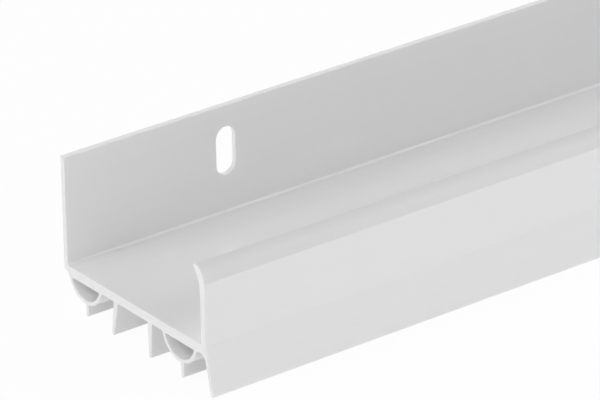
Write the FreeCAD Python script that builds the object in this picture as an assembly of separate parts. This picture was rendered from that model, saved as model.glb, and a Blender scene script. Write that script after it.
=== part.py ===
# Slide-on door bottom: one vinyl extrusion that slides over the lower edge of a door.
# X runs along the door, +Y is the side with the screw slots, -Y is the weather side and
# +Z is up. The origin is on the channel floor, at mid length and mid width.
import FreeCAD, Part
import math
import os

# Length, and the door that the channel is made for
length = 914.4
door_thickness = 44.45
door_clearance = 0.55

# Channel: the floor under the door and the leg on each side of it
floor_thickness = 2.05
slotted_leg_height = 24.0
slotted_leg_thickness = 1.23
weather_leg_thickness = 1.5
weather_leg_straight = 13.45
heel_thickness = 0.93
heel_slope = 22.0

# Lip that curls in at the top of the weather leg and grips the door. Its outer face bends
# in at an edge, runs flat for a little and then curls
lip_height = 17.05
lip_reach = 2.1
lip_tip_thickness = 1.2
lip_blend_start = 11.0
lip_bend_angle = 9.0
lip_flat = 0.85

# Hollow bulbs under the floor: centre measured in from its leg's inner face, and depth of
# the bottom under the channel floor
bulb_radius = 5.8
bulb_wall = 0.72
slotted_bulb_inset = 6.1
slotted_bulb_depth = 6.35
weather_bulb_inset = 7.2
weather_bulb_depth = 6.65

# Fins that hang from the floor: root measured from mid width, tip depth, and lean
inner_fin_offset = 5.95
inner_fin_depth = 9.65
inner_fin_lean = 8.5
outer_fin_offset = 5.42
outer_fin_depth = 9.8
outer_fin_lean = 0.5
floor_fin_root = 1.5
floor_fin_tip = 0.85

# Fins that hang from the bulbs: offset from the bulb's centre to the weather side
slotted_bulb_fin_offset = 0.37
slotted_bulb_fin_depth = 9.0
weather_bulb_fin_offset = 0.8
weather_bulb_fin_depth = 9.85
bulb_fin_root = 1.0
bulb_fin_tip = 0.8

# Drip flap that runs on down from the weather leg
flap_depth = 10.2
flap_lean = 12.8
flap_thickness = 0.9
flap_gusset = 0.8

# Screw slots, upright so that the fit to the threshold can be set
slot_count = 4
slot_width = 4.85
slot_height = 10.7
slot_centre_height = 13.7
slot_end_distance = 40.0

# Corners as they leave the die
root_radius = 0.35
edge_radius = 0.2

# Places that follow from the sizes above
inner_half = (door_thickness + door_clearance) / 2
slotted_outer = inner_half + slotted_leg_thickness
weather_outer = inner_half + weather_leg_thickness
along = FreeCAD.Vector(1, 0, 0)


def point(y, z, x=0):
    return FreeCAD.Vector(x, y, z)


def line(start, end):
    return Part.LineSegment(start, end).toShape()


def bar(edges):
    # A straight length of the section that the edges close
    return Part.Face(Part.Wire(edges)).extrude(along * length)


def polygon_bar(corners):
    points = [point(y, z) for y, z in corners]
    return bar([line(a, b) for a, b in zip(points, points[1:] + points[:1])])


def curl(foot, tip, lean):
    # The arc that leaves foot at this lean from upright and ends at tip
    chord = tip - foot
    turn = math.atan2(chord.y, chord.z) - lean
    bulge = point(-chord.z, chord.y) * (math.tan(turn / 2) / 2)
    return Part.Arc(foot, foot + chord / 2 + bulge, tip).toShape()


def floor_bar():
    # The underside rises to a thin heel below the slotted leg
    heel_run = (floor_thickness - heel_thickness) / math.tan(math.radians(heel_slope))
    return polygon_bar([
        (slotted_outer, 0),
        (-weather_outer, 0),
        (-weather_outer, -floor_thickness),
        (slotted_outer - heel_run, -floor_thickness),
        (slotted_outer, -heel_thickness),
    ])


def slotted_leg_bar():
    return polygon_bar([
        (inner_half, -heel_thickness),
        (slotted_outer, -heel_thickness),
        (slotted_outer, slotted_leg_height),
        (inner_half, slotted_leg_height),
    ])


def weather_leg_bar():
    # A straight leg whose outer and inner faces curl in to the tip of the lip
    lean = math.radians(lip_bend_angle)
    outer_bottom = point(-weather_outer, -floor_thickness)
    inner_bottom = point(-inner_half, -floor_thickness)
    outer_bend = point(-weather_outer, weather_leg_straight)
    outer_curl = outer_bend + point(math.sin(lean), math.cos(lean)) * lip_flat
    inner_bend = point(-inner_half, lip_blend_start)
    tip_inner = point(lip_reach - inner_half, lip_height - lip_tip_thickness * 0.4)
    tip_outer = tip_inner + point(-lip_tip_thickness, lip_tip_thickness / 4)
    tip_top = point((tip_inner.y + tip_outer.y) / 2, lip_height)
    return bar([
        line(outer_bottom, outer_bend),
        line(outer_bend, outer_curl),
        curl(outer_curl, tip_outer, lean),
        Part.Arc(tip_outer, tip_top, tip_inner).toShape(),
        curl(inner_bend, tip_inner, 0),
        line(inner_bend, inner_bottom),
        line(inner_bottom, outer_bottom),
    ])


def round_bar(centre_y, centre_z, radius, top_z):
    # The part of a round bar that lies below top_z
    full = Part.makeCylinder(radius, length, point(centre_y, centre_z), along)
    below = Part.makeBox(length, 2 * radius, 2 * radius, point(centre_y - radius, top_z - 2 * radius))
    return full.common(below)


def bulb_bar(centre_y, depth):
    return round_bar(centre_y, bulb_radius - depth, bulb_radius, -heel_thickness)


def bulb_hollow(centre_y, depth):
    return round_bar(centre_y, bulb_radius - depth, bulb_radius - bulb_wall, -floor_thickness)


def fin_bar(root_y, root_z, tip_depth, lean, root_thickness, tip_thickness):
    # A tapered blade whose sides run tangent into a round tip
    angle = math.radians(lean)
    down = point(math.sin(angle), -math.cos(angle))
    side = point(math.cos(angle), math.sin(angle))
    tip_radius = tip_thickness / 2
    root_half = root_thickness / 2
    reach = (root_z + tip_depth - tip_radius) / math.cos(angle)
    taper = math.acos(tip_radius / math.hypot(root_half, reach)) - math.atan2(reach, root_half)
    root = point(root_y, root_z)
    tip_centre = root + down * reach
    spread = side * (tip_radius * math.cos(taper))
    drop = down * (tip_radius * math.sin(taper))
    right_root = root + side * root_half
    left_root = root - side * root_half
    right_tip = tip_centre + spread + drop
    left_tip = tip_centre - spread + drop
    return bar([
        line(left_root, right_root),
        line(right_root, right_tip),
        Part.Arc(right_tip, tip_centre + down * tip_radius, left_tip).toShape(),
        line(left_tip, left_root),
    ])


def floor_fin_bar(offset, depth, lean):
    return fin_bar(offset, -floor_thickness / 2, depth, lean, floor_fin_root, floor_fin_tip)


def bulb_fin_bar(centre_y, offset, bulb_depth, depth):
    root_z = bulb_wall / 2 - bulb_depth
    return fin_bar(centre_y - offset, root_z, depth, 0, bulb_fin_root, bulb_fin_tip)


def flap_bar():
    # A leaning plate, with a gusset in the corner under the floor
    slope = math.tan(math.radians(flap_lean))
    width = flap_thickness / math.cos(math.radians(flap_lean))
    gusset_bottom = floor_thickness + flap_gusset
    inner_bottom = flap_depth + flap_thickness * math.sin(math.radians(flap_lean))
    return polygon_bar([
        (-weather_outer, 0),
        (-weather_outer - slope * flap_depth, -flap_depth),
        (-weather_outer - slope * inner_bottom + width, -inner_bottom),
        (-weather_outer - slope * gusset_bottom + width, -gusset_bottom),
        (-weather_outer - slope * floor_thickness + width + flap_gusset, -floor_thickness),
        (-weather_outer + width + flap_gusset, 0),
    ])


def rounded_section(block):
    # Growing and then shrinking the end face rounds its inner corners, and shrinking
    # and then growing it rounds the outer ones
    section = min(block.Faces, key=lambda face: face.CenterOfMass.x)
    section = section.makeOffset2D(root_radius).makeOffset2D(-root_radius)
    return section.makeOffset2D(-edge_radius).makeOffset2D(edge_radius)


def profile():
    slotted_bulb_y = inner_half - slotted_bulb_inset
    weather_bulb_y = weather_bulb_inset - inner_half
    block = floor_bar().fuse([
        slotted_leg_bar(),
        weather_leg_bar(),
        flap_bar(),
        bulb_bar(slotted_bulb_y, slotted_bulb_depth),
        bulb_bar(weather_bulb_y, weather_bulb_depth),
        floor_fin_bar(inner_fin_offset, inner_fin_depth, inner_fin_lean),
        floor_fin_bar(-outer_fin_offset, outer_fin_depth, outer_fin_lean),
        bulb_fin_bar(slotted_bulb_y, slotted_bulb_fin_offset, slotted_bulb_depth, slotted_bulb_fin_depth),
        bulb_fin_bar(weather_bulb_y, weather_bulb_fin_offset, weather_bulb_depth, weather_bulb_fin_depth),
    ]).removeSplitter()
    block = block.cut([
        bulb_hollow(slotted_bulb_y, slotted_bulb_depth),
        bulb_hollow(weather_bulb_y, weather_bulb_depth),
    ])
    extrusion = rounded_section(block).extrude(along * length)
    extrusion.translate(along * (-length / 2))
    return extrusion


def screw_slot(centre_x):
    # An upright slot with round ends, through the slotted leg
    radius = slot_width / 2
    straight = slot_height / 2 - radius
    near_y = inner_half - slotted_leg_thickness
    low = point(near_y, slot_centre_height - straight, centre_x)
    high = point(near_y, slot_centre_height + straight, centre_x)
    side = along * radius
    wire = Part.Wire([
        line(low - side, high - side),
        Part.Arc(high - side, high + point(0, radius), high + side).toShape(),
        line(high + side, low + side),
        Part.Arc(low + side, low - point(0, radius), low - side).toShape(),
    ])
    return Part.Face(wire).extrude(point(3 * slotted_leg_thickness, 0))


def screw_slots():
    first = slot_end_distance - length / 2
    pitch = (length - 2 * slot_end_distance) / (slot_count - 1)
    return [screw_slot(first + pitch * index) for index in range(slot_count)]


door_bottom = profile().cut(screw_slots())
os.makedirs("parts", exist_ok=True)
door_bottom.Solids[0].exportStep("parts/door_bottom_profile.step")
print("solids", len(door_bottom.Solids), "valid", door_bottom.isValid())
print("volume", round(door_bottom.Volume, 1), "box", door_bottom.BoundBox)
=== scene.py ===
import math
import bpy
import bmesh
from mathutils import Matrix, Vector


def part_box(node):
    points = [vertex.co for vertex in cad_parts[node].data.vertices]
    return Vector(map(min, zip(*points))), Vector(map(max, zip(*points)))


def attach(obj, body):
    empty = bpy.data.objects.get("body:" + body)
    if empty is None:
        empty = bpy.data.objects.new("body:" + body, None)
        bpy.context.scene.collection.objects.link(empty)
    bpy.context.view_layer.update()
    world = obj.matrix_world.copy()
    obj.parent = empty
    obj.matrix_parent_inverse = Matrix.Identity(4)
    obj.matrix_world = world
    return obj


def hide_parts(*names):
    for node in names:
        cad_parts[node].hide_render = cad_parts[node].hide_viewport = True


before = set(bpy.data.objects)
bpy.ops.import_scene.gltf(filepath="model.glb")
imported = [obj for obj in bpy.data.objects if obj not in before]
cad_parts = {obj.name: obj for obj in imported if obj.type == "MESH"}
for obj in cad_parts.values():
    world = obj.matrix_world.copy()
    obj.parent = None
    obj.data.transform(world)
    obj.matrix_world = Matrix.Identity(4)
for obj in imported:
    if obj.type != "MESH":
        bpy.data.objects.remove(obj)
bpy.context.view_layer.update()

mm = 0.001

# section of the extrusion, in millimetres: y runs to the slotted side, z runs up from the floor
section = {
    "doorGap": 45.0,
    "floorThickness": 2.05,
    "slottedLegHeight": 24.0,
    "slottedLegThickness": 1.23,
    "weatherLegThickness": 1.5,
    "weatherLegStraight": 13.45,
    "heelThickness": 0.93,
    "heelSlope": 22.0,
    "lipHeight": 17.05,
    "lipReach": 2.1,
    "lipTip": 1.2,
    "lipBlendStart": 11.0,
    "lipBend": 9.0,
    "lipFlat": 0.85,
    "bulbRadius": 5.8,
    "bulbWall": 0.72,
    "slottedBulb": {"inset": 6.1, "depth": 6.35, "finOffset": 0.37, "finDepth": 9.0},
    "weatherBulb": {"inset": 7.2, "depth": 6.65, "finOffset": 0.8, "finDepth": 9.85},
    "innerFin": {"y": 5.95, "depth": 9.65, "lean": 8.5},
    "outerFin": {"y": -5.42, "depth": 9.8, "lean": 0.5},
    "floorFin": {"root": 1.5, "tip": 0.85},
    "bulbFin": {"root": 1.0, "tip": 0.8},
    "flapDepth": 10.197,
    "flapLean": 12.8,
    "flapThickness": 0.9,
    "flapGusset": 0.8,
    "rootRadius": 0.35,
    "edgeRadius": 0.2,
    "legTopRadius": 0.34,
    "legFootRadius": 0.5,
    "lipTipDrop": 0.4,  # from the lip's top down to its inner edge, as a share of lipTip
    "lipTipRise": 0.25,  # from its inner edge up to its outer one, as a share of lipTip
    "arcStep": 4.0,  # degrees between points on the bulbs and the lip
    "finTipStep": 15.0,  # degrees between points on the tips of the fins
    "lipTipSteps": 8,
    "cornerSteps": 7,
}

trimLimit = 0.45  # most of a stroke's last piece that a corner may take
samePoint = 0.001  # millimetres under which two points are one


def at(y, z):
    # a point of the section: its x is the bar's y, and its y is the bar's z
    return Vector((y, z))


def cross(start, direction, centre, radius):
    # where a line first meets a circle
    away = start - centre
    along = away.dot(direction)
    inside = along * along - away.dot(away) + radius * radius
    return start + direction * (-along - math.sqrt(inside))


def arc(centre, start, end, step):
    # points from start to end round centre, by the shorter way
    a = math.atan2(start.y - centre.y, start.x - centre.x)
    b = math.atan2(end.y - centre.y, end.x - centre.x)
    turn = (b - a + math.pi) % (2 * math.pi) - math.pi
    radius = (start - centre).length
    count = max(2, round(abs(math.degrees(turn)) / step))
    return [centre + at(math.cos(a + turn * i / count), math.sin(a + turn * i / count)) * radius
            for i in range(count + 1)]


def curl(foot, tip, lean, step):
    # an arc that leaves foot at a lean from upright, and bulges to the weather side
    chord = tip - foot
    radius = chord.length / 2 / math.sin(math.atan2(chord.x, chord.y) - lean)
    centre = foot + at(math.cos(lean), -math.sin(lean)) * radius
    return arc(centre, foot, tip, step)


def trimmed(points, amount):
    # the polyline with a length cut off its end
    points = list(points)
    while len(points) > 2 and (points[-1] - points[-2]).length <= amount:
        amount -= (points[-1] - points[-2]).length
        points.pop()
    last = points[-1] - points[-2]
    points[-1] = points[-1] - last.normalized() * min(amount, last.length * trimLimit)
    return points


def roundJoin(before, after, radius, steps):
    # cuts back two strokes that meet at a corner and joins them with an arc
    inward = (before[-1] - before[-2]).normalized()
    outward = (after[1] - after[0]).normalized()
    turn = math.acos(max(-1.0, min(1.0, inward.dot(outward))))
    cut = radius * math.tan(turn / 2)
    before = trimmed(before, cut)
    after = trimmed(after[::-1], cut)[::-1]
    inward = (before[-1] - before[-2]).normalized()
    outward = (after[1] - after[0]).normalized()
    reach = 4 / 3 * math.tan(turn / 4) * radius  # handles with which a cubic follows the arc
    a = before[-1]
    b = a + inward * reach
    d = after[0]
    c = d - outward * reach
    bend = []
    for i in range(1, steps):
        t = i / steps
        bend.append(a * (1 - t) ** 3 + b * 3 * t * (1 - t) ** 2 + c * 3 * t * t * (1 - t) + d * t ** 3)
    return before, bend, after


def closedOutline(strokes, steps):
    # strokes are (points, radius of the corner at their end), in order round the outline
    parts = [points for points, radius in strokes]
    bends = []
    for i, (points, radius) in enumerate(strokes):
        j = (i + 1) % len(parts)
        bend = []
        if radius:
            parts[i], bend, parts[j] = roundJoin(parts[i], parts[j], radius, steps)
        bends.append(bend)
    outline = []
    for points, bend in zip(parts, bends):
        outline += points + bend
    return [p for i, p in enumerate(outline) if (p - outline[i - 1]).length > samePoint]


def finSides(y, top, depth, lean, blade, step):
    # the two sides of a tapered blade as (start, direction), and the arc of its tip
    a = math.radians(lean)
    down = at(math.sin(a), -math.cos(a))
    side = at(math.cos(a), math.sin(a))
    tipRadius = blade["tip"] / 2
    rootHalf = blade["root"] / 2
    reach = (top + depth - tipRadius) / math.cos(a)
    taper = math.acos(tipRadius / math.hypot(rootHalf, reach)) - math.atan2(reach, rootHalf)
    rootAt = at(y, top)
    tipAt = rootAt + down * reach
    spread = side * (tipRadius * math.cos(taper))
    drop = down * (tipRadius * math.sin(taper))
    rightRoot = rootAt + side * rootHalf
    leftRoot = rootAt - side * rootHalf
    rightTip = tipAt + spread + drop
    leftTip = tipAt - spread + drop
    lowest = tipAt + down * tipRadius
    cap = arc(tipAt, rightTip, lowest, step) + arc(tipAt, lowest, leftTip, step)[1:]
    right = (rightRoot, (rightTip - rightRoot).normalized())
    left = (leftRoot, (leftTip - leftRoot).normalized())
    return right, left, cap


def levelCross(side, z):
    start, direction = side
    return start + direction * ((z - start.y) / direction.y)


def floorFin(fin, s):
    # right side, tip and left side of a fin that hangs from the floor
    under = -s["floorThickness"]
    right, left, tip = finSides(fin["y"], under / 2, fin["depth"], fin["lean"],
                                s["floorFin"], s["finTipStep"])
    return [levelCross(right, under)] + tip + [levelCross(left, under)]


def bulb(spec, side, s):
    # centre of a bulb, and the outline of the fin below it
    y = side * (s["doorGap"] / 2 - spec["inset"])
    centre = at(y, s["bulbRadius"] - spec["depth"])
    finTop = s["bulbWall"] / 2 - spec["depth"]
    right, left, tip = finSides(y - spec["finOffset"], finTop, spec["finDepth"], 0,
                                s["bulbFin"], s["finTipStep"])
    ends = [cross(tipEnd, (root - tipEnd).normalized(), centre, s["bulbRadius"])
            for root, tipEnd in ((right[0], tip[0]), (left[0], tip[-1]))]
    return centre, [ends[0]] + tip + [ends[1]]


def atLevel(centre, radius, z, side):
    # the point of a circle at height z
    return at(centre.x + side * math.sqrt(radius ** 2 - (z - centre.y) ** 2), z)


def outerOutline(s):
    half = s["doorGap"] / 2
    top, under = s["slottedLegHeight"], -s["floorThickness"]
    slotted, weather = half + s["slottedLegThickness"], -half - s["weatherLegThickness"]
    root, edge, step = s["rootRadius"], s["edgeRadius"], s["arcStep"]
    legTop = s["legTopRadius"]
    heel = at(slotted, -s["heelThickness"])
    slope = at(-math.cos(math.radians(s["heelSlope"])), -math.sin(math.radians(s["heelSlope"])))
    radius = s["bulbRadius"]
    slottedCentre, slottedFin = bulb(s["slottedBulb"], 1, s)
    weatherCentre, weatherFin = bulb(s["weatherBulb"], -1, s)
    heelEnd = cross(heel, slope, slottedCentre, radius)
    innerFin, outerFin = floorFin(s["innerFin"], s), floorFin(s["outerFin"], s)
    slottedRoot = atLevel(slottedCentre, radius, under, -1)
    weatherRoots = [atLevel(weatherCentre, radius, under, side) for side in (1, -1)]

    lean = math.radians(s["flapLean"])
    width, grow = s["flapThickness"] / math.cos(lean), math.tan(lean)
    gusset, depth = s["flapGusset"], s["flapDepth"]
    low = depth + s["flapThickness"] * math.sin(lean)
    gussetIn = at(weather + grow * under + width + gusset, under)
    gussetOut = at(weather + grow * (under - gusset) + width, under - gusset)
    flapInner, flapOuter = at(weather - grow * low + width, -low), at(weather - grow * depth, -depth)

    tipInner = at(s["lipReach"] - half, s["lipHeight"] - s["lipTip"] * s["lipTipDrop"])
    tipOuter = tipInner + at(-s["lipTip"], s["lipTip"] * s["lipTipRise"])
    tipTop = at((tipInner.x + tipOuter.x) / 2, s["lipHeight"])
    bend, blend = at(weather, s["weatherLegStraight"]), at(-half, s["lipBlendStart"])
    bendLean = math.radians(s["lipBend"])
    curlStart = bend + at(math.sin(bendLean), math.cos(bendLean)) * s["lipFlat"]
    lipOuter = [bend] + curl(curlStart, tipOuter, bendLean, step)
    lipInner = curl(blend, tipInner, 0, step)
    strokes = [
        ([at(half, top), at(slotted, top)], legTop),
        ([at(slotted, top), heel], edge),
        ([heel, heelEnd], root),
        (arc(slottedCentre, heelEnd, slottedFin[0], step), root),
        (slottedFin, root),
        (arc(slottedCentre, slottedFin[-1], slottedRoot, step), root),
        ([slottedRoot, innerFin[0]], root),
        (innerFin, root),
        ([innerFin[-1], outerFin[0]], root),
        (outerFin, root),
        ([outerFin[-1], weatherRoots[0]], root),
        (arc(weatherCentre, weatherRoots[0], weatherFin[0], step), root),
        (weatherFin, root),
        (arc(weatherCentre, weatherFin[-1], weatherRoots[1], step), root),
        ([weatherRoots[1], gussetIn], root),
        ([gussetIn, gussetOut], root),
        ([gussetOut, flapInner], edge),
        ([flapInner, flapOuter], edge),
        ([flapOuter, at(weather, 0)], root),
        ([at(weather, 0), bend], edge),
        (lipOuter, 0),
        (tipCap(tipOuter, tipTop, tipInner, s["lipTipSteps"]), edge),
        (lipInner[::-1], 0),
        ([blend, at(-half, 0)], root),
        ([at(-half, 0), at(half, 0)], s["legFootRadius"]),
        ([at(half, 0), at(half, top)], legTop),
    ]
    return closedOutline(strokes, s["cornerSteps"])


def tipCap(start, middle, end, steps):
    # a smooth cap over the tip of the lip, through three points
    points = []
    for i in range(steps + 1):
        t = i / steps
        fromStart = start * ((1 - t) * (1 - 2 * t))
        fromMiddle = middle * (4 * t * (1 - t))
        fromEnd = end * (t * (2 * t - 1))
        points.append(fromStart + fromMiddle + fromEnd)
    return points


def hollowOutline(spec, side, s):
    # the space inside a bulb, closed above by the floor
    centre = bulb(spec, side, s)[0]
    radius = s["bulbRadius"] - s["bulbWall"]
    under = -s["floorThickness"]
    ends = [atLevel(centre, radius, under, way) for way in (1, -1)]
    lowest = at(centre.x, centre.y - radius)
    wall = arc(centre, ends[0], lowest, s["arcStep"]) + arc(centre, lowest, ends[1], s["arcStep"])[1:]
    return closedOutline([(wall, s["rootRadius"]), ([ends[1], ends[0]], s["rootRadius"])], s["cornerSteps"])


outline = outerOutline(section)
bulbSides = ((section["slottedBulb"], 1), (section["weatherBulb"], -1))
bulbCentres = [bulb(spec, side, section)[0] for spec, side in bulbSides]
hollows = [hollowOutline(spec, side, section) for spec, side in bulbSides]
print("section points", len(outline), [len(h) for h in hollows])

# the bar: its cut ends and the rim that the saw leaves on them
bar = {
    "name": "doorBottomVinyl",
    "node": "door_bottom_profile",
    "endRim": 0.09,
    "rimBend": 0.3,  # share of the rim at which it bends
    "endZone": 0.18,  # how near an end its flat faces lie
    "sharpAngle": 50.0,
    "faceAreaWeight": 100,
}


def inset(points, amount):
    # the outline moved into the vinyl, which lies to the right of each stroke
    moved = []
    for i, p in enumerate(points):
        back = (p - points[i - 1]).normalized()
        ahead = (points[(i + 1) % len(points)] - p).normalized()
        along = (back + ahead).normalized()
        moved.append(p + at(along.y, -along.x) * amount)
    return moved


def bridge(bm, rings):
    # walls from each ring of points to the next
    for near, far in zip(rings, rings[1:]):
        for i in range(len(near)):
            j = (i + 1) % len(near)
            bm.faces.new((near[i], near[j], far[j], far[i]))


def meshObject(bm, name):
    bmesh.ops.recalc_face_normals(bm, faces=bm.faces)
    mesh = bpy.data.meshes.new(name)
    bm.to_mesh(mesh)
    bm.free()
    obj = bpy.data.objects.new(name, mesh)
    bpy.context.collection.objects.link(obj)
    return obj


def sweptBar(loops, ends, spec):
    low, high = ends
    rim = spec["endRim"]
    bend = rim * spec["rimBend"]
    stations = [(low, rim), (low + bend, bend), (low + rim, 0.0)]
    stations += [(high - rim, 0.0), (high - bend, bend), (high, rim)]
    bm = bmesh.new()
    caps = {low: [], high: []}
    for loop in loops:
        rings = []
        for x, amount in stations:
            rings.append([bm.verts.new((x * mm, p.x * mm, p.y * mm)) for p in inset(loop, amount)])
        bridge(bm, rings)
        for x, ring in ((low, rings[0]), (high, rings[-1])):
            caps[x] += [bm.edges.get((ring[i - 1], ring[i])) for i in range(len(ring))]
    for edges in caps.values():
        bmesh.ops.triangle_fill(bm, edges=edges, use_beauty=True)
    return meshObject(bm, spec["name"])


nodeLow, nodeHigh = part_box(bar["node"])
nearEnd, farEnd = nodeLow[0] / mm, nodeHigh[0] / mm
vinylBar = sweptBar([outline] + hollows, (nearEnd, farEnd), bar)
print("bar swept", nearEnd, farEnd)

# screw slots, punched through the slotted leg
slots = {
    "count": 4,
    "width": 4.85,
    "height": 10.7,
    "centre": 13.7,
    "endDistance": 40.0,
    "rim": 0.09,
    "rimBend": 0.3,
    "overshoot": 1.0,  # how far the punch passes the faces of the leg
    "steps": 28,
}


def slotRing(grow, spec):
    # an upright outline with round ends, as (x, z)
    radius = spec["width"] / 2
    straight = spec["height"] / 2 - radius
    ring = []
    for i in range(2 * spec["steps"]):
        a = math.pi * (i + 0.5) / spec["steps"]
        lift = straight if a < math.pi else -straight
        ring.append(((radius + grow) * math.cos(a), (radius + grow) * math.sin(a) + lift))
    return ring


def slotCutter(centre, spec, inner, outer):
    rim = spec["rim"]
    bend = rim * spec["rimBend"]
    past = spec["overshoot"]
    layers = [(inner - past, rim), (inner, rim), (inner + bend, bend), (inner + rim, 0)]
    layers += [(outer - rim, 0), (outer - bend, bend), (outer, rim), (outer + past, rim)]
    bm = bmesh.new()
    rings = []
    for y, grow in layers:
        ring = [(centre + x, spec["centre"] + z) for x, z in slotRing(grow, spec)]
        rings.append([bm.verts.new((x * mm, y * mm, z * mm)) for x, z in ring])
    bridge(bm, rings)
    bm.faces.new(rings[0])
    bm.faces.new(rings[-1])
    return meshObject(bm, "slotCutter")


def punch(obj, cutters):
    for cutter in cutters:
        cut = obj.modifiers.new("slot", "BOOLEAN")
        cut.operation = "DIFFERENCE"
        cut.solver = "EXACT"
        cut.object = cutter
    graph = bpy.context.evaluated_depsgraph_get()
    obj.data = bpy.data.meshes.new_from_object(obj.evaluated_get(graph))
    obj.data.name = obj.name
    obj.modifiers.clear()
    for cutter in cutters:
        bpy.data.objects.remove(cutter)


def finishShading(obj, spec):
    for face in obj.data.polygons:
        face.use_smooth = True
    obj.data.set_sharp_from_angle(angle=math.radians(spec["sharpAngle"]))
    weighted = obj.modifiers.new("weightedNormals", "WEIGHTED_NORMAL")
    weighted.keep_sharp = True
    weighted.weight = spec["faceAreaWeight"]


innerFace = section["doorGap"] / 2
outerFace = innerFace + section["slottedLegThickness"]
pitch = (farEnd - nearEnd - 2 * slots["endDistance"]) / (slots["count"] - 1)
slotCentres = [nearEnd + slots["endDistance"] + pitch * i for i in range(slots["count"])]
punch(vinylBar, [slotCutter(x, slots, innerFace, outerFace) for x in slotCentres])
finishShading(vinylBar, bar)
print("slots punched", len(vinylBar.data.polygons), "faces")

# what the vinyl shares everywhere, in its real surfaces and its painted light
vinylBody = {
    "specular": 0.7,
    "ior": 1.53,
    "reliefDepth": 0.0002,  # metres
    "reliefStrength": 0.6,
}

# white vinyl: soft sheen and faint lines from the die along the bar
vinyl = {
    **vinylBody,
    "name": "drawnVinyl",
    "colour": (0.90, 0.90, 0.90),
    "lineColour": (0.89, 0.89, 0.89),
    "roughness": (0.16, 0.20),
    "lineScale": (2.0, 900.0, 900.0),
    "lineDetail": 3,
    "lineBump": 0.05,
    "mottleScale": (60.0, 60.0, 60.0),
    "lipFrom": section["weatherLegStraight"],
    "lipEdge": 0.1,
    "lipColour": (0.83, 0.83, 0.83),
    "lipRoughness": 0.55,
    "lightReach": 0.0003,  # metres that light travels in thin walls
    "scatterShare": 1.0,
    "scatterColours": (1.0, 1.0, 1.0),
}

# inside the bulbs the vinyl is drawn lighter than outside: painted light in the shaded hollows
bulbPaintedLightVinyl = {
    **vinyl,
    "name": "bulbPaintedLightVinyl",
    "lightReach": 0.001,
    "colour": (0.965, 0.965, 0.965),
    "lineColour": (0.955, 0.955, 0.955),
    "ceilingMargin": 0.0875,  # how far above the floor's underside its faces may lie
}

# the corner at the foot of the slotted leg is drawn lighter and glossier than the rest: a painted highlight
# along it
cornerPaintedHighlightVinyl = {
    **vinyl,
    "name": "cornerPaintedHighlightVinyl",
    "specular": 1.0,
    "colour": (0.99, 0.99, 0.99),
    "lineColour": (0.98, 0.98, 0.98),
    "lightReach": 0.0001,
}

# the same vinyl where the saw or the punch has cut it: duller and finely scored
sawnVinyl = {
    **vinylBody,
    "name": "sawnVinyl",
    "colour": (0.92, 0.92, 0.92),
    "scoreColour": (0.95, 0.95, 0.95),
    "roughness": (0.34, 0.42),
    "scoreScale": (300.0, 700.0, 5000.0),
    "scoreDetail": 4,
    "scoreBump": 0.12,
}

# the slot walls are scored like the cut ends but drawn lighter: painted light, standing for light that
# comes through the slots from behind
punchedPaintedLightVinyl = {
    **sawnVinyl,
    "name": "punchedPaintedLightVinyl",
    "colour": (0.97, 0.97, 0.97),
    "scoreColour": (0.99, 0.99, 0.99),
    "scoreScale": (900.0, 200.0, 900.0),
    "legTopMargin": 2.0,
}


def newNode(tree, kind, **values):
    node = tree.nodes.new(kind)
    for name, value in values.items():
        node.inputs[name.replace("_", " ")].default_value = value
    return node


def stretchedNoise(tree, scale, detail):
    place = newNode(tree, "ShaderNodeTexCoord")
    mapping = newNode(tree, "ShaderNodeMapping", Scale=scale)
    noise = newNode(tree, "ShaderNodeTexNoise", Scale=1.0, Detail=detail)
    tree.links.new(place.outputs["Object"], mapping.inputs["Vector"])
    tree.links.new(mapping.outputs["Vector"], noise.inputs["Vector"])
    return noise.outputs["Fac"]


def remap(tree, value, low, high, start=0.3, end=0.7):
    node = newNode(tree, "ShaderNodeMapRange", From_Min=start, From_Max=end, To_Min=low, To_Max=high)
    tree.links.new(value, node.inputs["Value"])
    return node.outputs["Result"]


def calculate(tree, operation, first, second):
    node = newNode(tree, "ShaderNodeMath")
    node.operation = operation
    for socket, value in zip(node.inputs, (first, second)):
        if isinstance(value, (int, float)):
            socket.default_value = value
        else:
            tree.links.new(value, socket)
    return node.outputs[0]


def mixColour(tree, factor, first, second):
    mix = newNode(tree, "ShaderNodeMix")
    mix.data_type = "RGBA"
    tree.links.new(factor, mix.inputs["Factor"])
    for socket, value in ((mix.inputs["A"], first), (mix.inputs["B"], second)):
        if isinstance(value, tuple):
            socket.default_value = (*value, 1)
        else:
            tree.links.new(value, socket)
    return mix.outputs["Result"]


def vinylBase(spec):
    material = bpy.data.materials.new(spec["name"])
    material.use_nodes = True
    shader = material.node_tree.nodes["Principled BSDF"]
    shader.inputs["Specular IOR Level"].default_value = spec["specular"]
    shader.inputs["IOR"].default_value = spec["ior"]
    return material, material.node_tree, shader


def addRelief(tree, height, shader, spec):
    bump = newNode(tree, "ShaderNodeBump", Distance=spec["reliefDepth"], Strength=spec["reliefStrength"])
    tree.links.new(height, bump.inputs["Height"])
    tree.links.new(bump.outputs["Normal"], shader.inputs["Normal"])


def lipShare(tree, spec):
    # 1 on the lip at the top of the weather leg, 0 elsewhere
    place = newNode(tree, "ShaderNodeTexCoord")
    split = newNode(tree, "ShaderNodeSeparateXYZ")
    tree.links.new(place.outputs["Object"], split.inputs[0])
    low = (spec["lipFrom"] - spec["lipEdge"]) * mm
    high = (spec["lipFrom"] + spec["lipEdge"]) * mm
    above = remap(tree, split.outputs["Z"], 0.0, 1.0, low, high)
    weatherSide = calculate(tree, "LESS_THAN", split.outputs["Y"], 0.0)
    return calculate(tree, "MULTIPLY", above, weatherSide)


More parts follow.
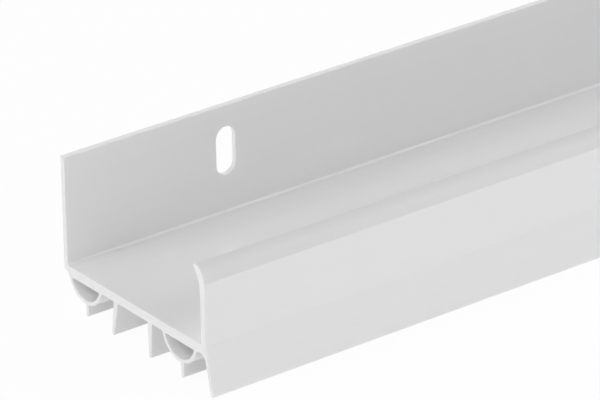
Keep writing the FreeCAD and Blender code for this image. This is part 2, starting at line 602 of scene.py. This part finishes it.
def drawnVinylMaterial(spec):
    material, tree, shader = vinylBase(spec)
    shader.inputs["Subsurface Weight"].default_value = spec["scatterShare"]
    shader.inputs["Subsurface Radius"].default_value = spec["scatterColours"]
    shader.inputs["Subsurface Scale"].default_value = spec["lightReach"]
    dieLines = stretchedNoise(tree, spec["lineScale"], spec["lineDetail"])
    mottle = stretchedNoise(tree, spec["mottleScale"], spec["lineDetail"])
    lip = lipShare(tree, spec)
    lined = mixColour(tree, remap(tree, dieLines, 0.0, 1.0), spec["colour"], spec["lineColour"])
    tree.links.new(mixColour(tree, lip, lined, spec["lipColour"]), shader.inputs["Base Color"])
    gloss = newNode(tree, "ShaderNodeMix", B=spec["lipRoughness"])
    tree.links.new(lip, gloss.inputs["Factor"])
    tree.links.new(remap(tree, mottle, *spec["roughness"]), gloss.inputs["A"])
    tree.links.new(gloss.outputs["Result"], shader.inputs["Roughness"])
    addRelief(tree, remap(tree, dieLines, 0.0, spec["lineBump"]), shader, spec)
    return material


def cutVinylMaterial(spec):
    material, tree, shader = vinylBase(spec)
    scores = stretchedNoise(tree, spec["scoreScale"], spec["scoreDetail"])
    scored = mixColour(tree, remap(tree, scores, 0.0, 1.0), spec["colour"], spec["scoreColour"])
    tree.links.new(scored, shader.inputs["Base Color"])
    tree.links.new(remap(tree, scores, *spec["roughness"]), shader.inputs["Roughness"])
    addRelief(tree, remap(tree, scores, 0.0, spec["scoreBump"]), shader, spec)
    return material


facing = 0.5  # share of its normal from which a face looks along an axis


def isSawn(face):
    # on the flat of a cut end
    toEnd = min(face.center.x - nodeLow[0], nodeHigh[0] - face.center.x)
    return abs(face.normal.x) > facing and toEnd < bar["endZone"] * mm


def isPunched(face):
    # on the wall of a slot, where the painted light goes
    y, z = face.center.y / mm, face.center.z / mm
    inLeg = innerFace < y < outerFace and 0 < z < section["slottedLegHeight"] - punchedPaintedLightVinyl["legTopMargin"]
    atSlot = min(abs(face.center.x / mm - x) for x in slotCentres) < slots["width"]
    return inLeg and atSlot and abs(face.normal.y) < facing


def isInBulb(face, s):
    # on the inner wall of a bulb, where the painted light goes
    middle = at(face.center.y / mm, face.center.z / mm)
    toCentre = min((middle - centre).length for centre in bulbCentres)
    underCeiling = middle.y < -s["floorThickness"] + bulbPaintedLightVinyl["ceilingMargin"]
    return underCeiling and toCentre < s["bulbRadius"] - s["bulbWall"] / 2


def isInCorner(face, s):
    # on the rounded corner between the floor and the slotted leg, where the painted highlight goes
    y, z = face.center.y / mm, face.center.z / mm
    atCorner = innerFace - s["legFootRadius"] < y < innerFace and 0 < z < s["legFootRadius"]
    return atCorner and face.normal.y < 0 < face.normal.z


# the surface a face gets: its real one, or painted light inside the bulbs and on the slot walls, or a
# painted highlight on the corner
def finishOrPaintedLightOf(face):
    if isSawn(face):
        return "sawn"
    if isPunched(face):
        return "punched"
    if isInBulb(face, section):
        return "bulbPaintedLight"
    if isInCorner(face, section):
        return "corner"
    return "drawn"


def dressBar(obj):
    finishesAndPaintedLight = {
        "drawn": drawnVinylMaterial(vinyl),
        "sawn": cutVinylMaterial(sawnVinyl),
        "punched": cutVinylMaterial(punchedPaintedLightVinyl),
        "bulbPaintedLight": drawnVinylMaterial(bulbPaintedLightVinyl),
        "corner": drawnVinylMaterial(cornerPaintedHighlightVinyl),
    }
    obj.data.materials.clear()
    for material in finishesAndPaintedLight.values():
        obj.data.materials.append(material)
    names = list(finishesAndPaintedLight)
    counts = dict.fromkeys(names, 0)
    for face in obj.data.polygons:
        finishOrPaintedLight = finishOrPaintedLightOf(face)
        face.material_index = names.index(finishOrPaintedLight)
        counts[finishOrPaintedLight] += 1
    print("faces of each finish", counts)


dressBar(vinylBar)
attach(vinylBar, "root")
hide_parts(bar["node"])
print("vinyl made")

# floor, surroundings and lamps, in metres and linear light
studio = {
    "floorSize": 60.0,
    "floorColour": (0.90, 0.90, 0.90),
    "floorGlow": 0.223,
    "floorShadow": 0.1,
    "horizon": 0.060,
    "zenith": 0.29,
    "lampDistance": 2.2,
    "lampAim": 60.0,  # millimetres along the bar from its near end
    "lamps": {
        "endLamp": {"azimuth": -90, "elevation": 45, "size": 1.6, "power": 13.7},
        "leftLamp": {"azimuth": -60, "elevation": 40, "size": 1.4, "power": 5.6},
        "frontLamp": {"azimuth": -5, "elevation": 6, "size": 0.8, "power": 2.6},
        "rightLamp": {"azimuth": 45, "elevation": 12, "size": 1.2, "power": 7.2},
        "keyLamp": {"azimuth": 42, "elevation": 33, "size": 0.9, "power": 8.3},
        "backLamp": {"azimuth": 143, "elevation": 25, "size": 1.0, "power": 4.5},
        "backTopLamp": {"azimuth": 180, "elevation": 65, "size": 1.2, "power": 5.1},
        "backEndLamp": {"azimuth": -120, "elevation": 8, "size": 1.2, "power": 6.0},
    },
}


def cameraOrGloss(nodes, links):
    # 1 for what the camera sees straight, in gloss or through glass
    path = nodes.new("ShaderNodeLightPath")
    total = path.outputs["Is Camera Ray"]
    for name in ("Is Glossy Ray", "Is Transmission Ray"):
        more = nodes.new("ShaderNodeMath")
        more.operation = "MAXIMUM"
        links.new(total, more.inputs[0])
        links.new(path.outputs[name], more.inputs[1])
        total = more.outputs[0]
    return total


def makeFloor(spec, height):
    half = spec["floorSize"] / 2
    mesh = bpy.data.meshes.new("studioFloor")
    corners = [(-half, -half, 0), (half, -half, 0), (half, half, 0), (-half, half, 0)]
    mesh.from_pydata(corners, [], [(0, 1, 2, 3)])
    floor = bpy.data.objects.new("studioFloor", mesh)
    bpy.context.collection.objects.link(floor)
    floor.location.z = height
    material = bpy.data.materials.new("paleFloor")
    material.use_nodes = True
    nodes, links = material.node_tree.nodes, material.node_tree.links
    nodes.clear()
    matt = nodes.new("ShaderNodeBsdfDiffuse")
    matt.inputs["Color"].default_value = (*spec["floorColour"], 1)
    glow = nodes.new("ShaderNodeEmission")
    glow.inputs["Strength"].default_value = spec["floorGlow"]
    lit = nodes.new("ShaderNodeAddShader")
    links.new(matt.outputs[0], lit.inputs[0])
    links.new(glow.outputs[0], lit.inputs[1])
    white = nodes.new("ShaderNodeEmission")
    shown = nodes.new("ShaderNodeMixShader")
    scale = nodes.new("ShaderNodeMath")
    scale.operation = "MULTIPLY"
    scale.inputs[1].default_value = 1 - spec["floorShadow"]
    links.new(cameraOrGloss(nodes, links), scale.inputs[0])
    links.new(scale.outputs[0], shown.inputs[0])
    links.new(lit.outputs[0], shown.inputs[1])
    links.new(white.outputs[0], shown.inputs[2])
    out = nodes.new("ShaderNodeOutputMaterial")
    links.new(shown.outputs[0], out.inputs[0])
    mesh.materials.append(material)


def makeWorld(spec):
    world = bpy.data.worlds.new("studioWorld")
    bpy.context.scene.world = world
    world.use_nodes = True
    nodes, links = world.node_tree.nodes, world.node_tree.links
    nodes.clear()
    place = nodes.new("ShaderNodeTexCoord")
    split = nodes.new("ShaderNodeSeparateXYZ")
    links.new(place.outputs["Generated"], split.inputs[0])
    height = nodes.new("ShaderNodeMapRange")
    height.inputs["To Min"].default_value = spec["horizon"]
    height.inputs["To Max"].default_value = spec["zenith"]
    links.new(split.outputs["Z"], height.inputs["Value"])
    sky = nodes.new("ShaderNodeBackground")
    links.new(height.outputs["Result"], sky.inputs["Strength"])
    plain = nodes.new("ShaderNodeBackground")
    plain.inputs["Color"].default_value = (1, 1, 1, 1)
    sky.inputs["Color"].default_value = (1, 1, 1, 1)
    path = nodes.new("ShaderNodeLightPath")
    shown = nodes.new("ShaderNodeMixShader")
    links.new(path.outputs["Is Camera Ray"], shown.inputs[0])
    links.new(sky.outputs[0], shown.inputs[1])
    links.new(plain.outputs[0], shown.inputs[2])
    out = nodes.new("ShaderNodeOutputWorld")
    links.new(shown.outputs[0], out.inputs[0])


def direction(azimuth, elevation):
    # from the bar towards a lamp or the camera: azimuth 0 is in front of the weather side
    a, e = math.radians(azimuth), math.radians(elevation)
    return Vector((math.sin(a) * math.cos(e), -math.cos(a) * math.cos(e), math.sin(e)))


def makeLamp(name, spec, target, distance):
    data = bpy.data.lights.new(name, "AREA")
    data.shape = "SQUARE"
    data.size = spec["size"]
    data.energy = spec["power"]
    lamp = bpy.data.objects.new(name, data)
    bpy.context.collection.objects.link(lamp)
    back = direction(spec["azimuth"], spec["elevation"])
    lamp.location = target + back * distance
    lamp.rotation_euler = back.to_track_quat("Z", "Y").to_euler()


seenMiddle = Vector(((nearEnd + studio["lampAim"]) * mm, 0, 0))
makeFloor(studio, nodeLow[2])
makeWorld(studio)
for name, spec in studio["lamps"].items():
    makeLamp(name, spec, seenMiddle, studio["lampDistance"])
print("studio lit")

# camera, fitted to the photo: the middle of the channel floor's near end falls on floorMiddlePixel
shot = {
    "imageWidth": 600,
    "imageHeight": 400,
    "azimuth": -37.13,
    "elevation": 25.44,
    "roll": -0.81,
    "focalPixels": 5139.0,
    "distance": 1.0155,
    "floorMiddlePixel": (133.2, 304.3),
    "sensor": 36.0,  # millimetres
    "clipEnd": 100.0,  # metres
}


def makeCamera(spec, anchor):
    data = bpy.data.cameras.new("photoCamera")
    data.sensor_width = spec["sensor"]
    data.lens = spec["focalPixels"] / spec["imageWidth"] * spec["sensor"]
    camera = bpy.data.objects.new("photoCamera", data)
    bpy.context.collection.objects.link(camera)
    back = direction(spec["azimuth"], spec["elevation"])
    level = Vector((0, 0, 1)).cross(back).normalized()
    upright = back.cross(level)
    roll = math.radians(spec["roll"])
    right = level * math.cos(roll) + upright * math.sin(roll)
    up = upright * math.cos(roll) - level * math.sin(roll)
    scale = spec["distance"] / spec["focalPixels"]
    across = (spec["floorMiddlePixel"][0] - spec["imageWidth"] / 2) * scale
    above = (spec["imageHeight"] / 2 - spec["floorMiddlePixel"][1]) * scale
    place = anchor - right * across - up * above + back * spec["distance"]
    for i in range(3):
        camera.matrix_world[i] = (right[i], up[i], back[i], place[i])
    data.clip_end = spec["clipEnd"]
    bpy.context.scene.camera = camera


makeCamera(shot, Vector((nearEnd * mm, 0, 0)))
bpy.context.scene.view_settings.view_transform = "Standard"
print("camera placed")
